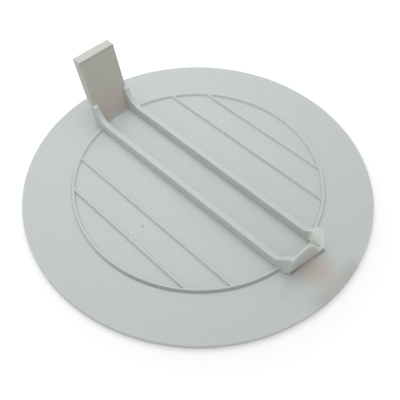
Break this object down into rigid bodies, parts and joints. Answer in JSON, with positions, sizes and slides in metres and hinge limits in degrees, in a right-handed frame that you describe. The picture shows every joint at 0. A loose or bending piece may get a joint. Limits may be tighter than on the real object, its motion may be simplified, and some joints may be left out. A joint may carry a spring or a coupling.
{
  "type": "end cap",
  "caption": "Round plastic end cap: a thin disc with a raised ring, slat lines and a ribbed strap that ends in a springy clip leg and the stub of a snapped one.",
  "frame": {"origin": "centre of the smooth outer face of the disc, which lies on the bench", "axes": "+Z from the smooth face towards the tip of the leg; X along the strap, with the standing leg at -X and the stub at +X; Y across the strap"},
  "size_m": [0.1, 0.1, 0.0235],
  "materials": {
    "plastic": "satin moulded surface, pale grey"
  },
  "bodies": {
    "root": {"end_cap": "plastic"}
  },
  "joints": []
}
